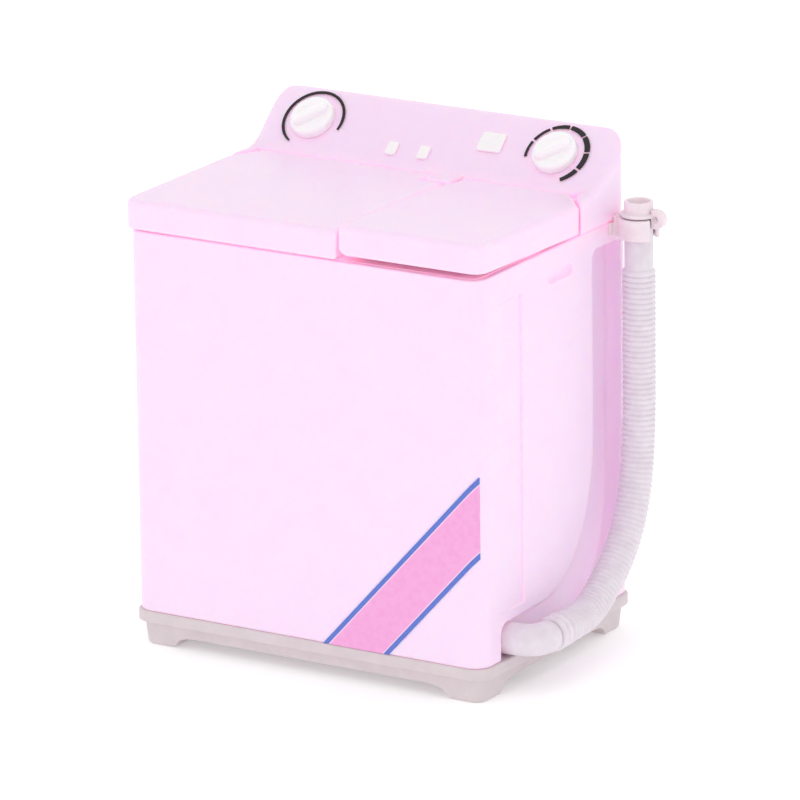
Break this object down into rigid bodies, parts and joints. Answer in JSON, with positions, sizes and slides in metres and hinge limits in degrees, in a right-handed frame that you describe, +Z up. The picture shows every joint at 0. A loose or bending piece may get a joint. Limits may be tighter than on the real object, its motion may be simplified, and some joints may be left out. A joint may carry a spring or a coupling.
{
  "type": "toy washing machine",
  "caption": "Miniature pink twin-tub washing machine with hinged lids, timer knobs, wash tub, spin basket and a ribbed drain hose.",
  "frame": {"origin": "on the surface that the feet stand on, under the middle of the bounding box, hose included", "axes": "+Z up; -Y is the front with the sticker; +X is the side with the drain hose"},
  "size_m": [0.0636, 0.0406, 0.0702],
  "materials": {
    "body_pink": "glossy",
    "inner_pink": "satin",
    "base_grey": "satin",
    "white_plastic": "glossy",
    "black_print": "satin",
    "sticker_film": "glossy",
    "hose_grey": "satin",
    "clip_beige": "satin",
    "screw_steel": "satin"
  },
  "bodies": {
    "machine": {"base_tray": "base_grey", "cabinet_shell": "body_pink", "back_cover": "body_pink", "top_deck": "inner_pink", "wash_tub": "inner_pink", "spin_tub": "inner_pink", "console_housing": "body_pink", "front_sticker": "sticker_film", "drain_elbow": "hose_grey", "drain_elbow_nut": "base_grey", "drain_hose": "hose_grey", "hose_clip": "clip_beige", "hose_end_socket": "clip_beige", "wash_dial_scale": "black_print", "spin_dial_scale": "black_print", "left_selector": "white_plastic", "right_selector": "white_plastic", "indicator_window": "white_plastic", "base_screw_1": "screw_steel", "cover_screw_1": "screw_steel", "base_screw_2": "screw_steel", "cover_screw_2": "screw_steel", "base_screw_3": "screw_steel", "cover_screw_3": "screw_steel", "base_screw_4": "screw_steel", "cover_screw_4": "screw_steel"},
    "wash_lid_body": {"wash_lid": "body_pink"},
    "spin_lid_body": {"spin_lid": "body_pink"},
    "wash_timer": {"wash_timer_knob": "white_plastic", "wash_timer_clip": "white_plastic"},
    "spin_timer": {"spin_timer_knob": "white_plastic", "spin_timer_clip": "white_plastic"},
    "pulsator_body": {"pulsator": "white_plastic", "pulsator_clip": "white_plastic"},
    "spin_basket_body": {"spin_basket": "white_plastic", "spin_basket_clip": "white_plastic"}
  },
  "joints": [
    {"name": "wash_lid_hinge", "type": "hinge", "parent": "machine", "child": "wash_lid_body", "pos_m": [-0.01498, 0.01005, 0.0623], "axis": [-1, 0, 0], "range_deg": [0, 95]},
    {"name": "spin_lid_hinge", "type": "hinge", "parent": "machine", "child": "spin_lid_body", "pos_m": [0.01317, 0.01005, 0.0623], "axis": [-1, 0, 0], "range_deg": [-1.4, 93.6]},
    {"name": "wash_timer_turn", "type": "hinge", "parent": "machine", "child": "wash_timer", "pos_m": [-0.0237, 0.01566, 0.06684], "axis": [0, -0.6627, 0.7489], "range_deg": [-235, 19]},
    {"name": "spin_timer_turn", "type": "hinge", "parent": "machine", "child": "spin_timer", "pos_m": [0.01495, 0.01554, 0.06674], "axis": [0, -0.6627, 0.7489], "range_deg": [-101, 156]},
    {"name": "pulsator_turn", "type": "hinge", "parent": "machine", "child": "pulsator_body", "pos_m": [-0.01465, -0.00455, 0.0212], "axis": [0, 0, 1], "continuous": true},
    {"name": "spin_basket_turn", "type": "hinge", "parent": "machine", "child": "spin_basket_body", "pos_m": [0.01305, -0.00455, 0.0212], "axis": [0, 0, 1], "continuous": true}
  ]
}
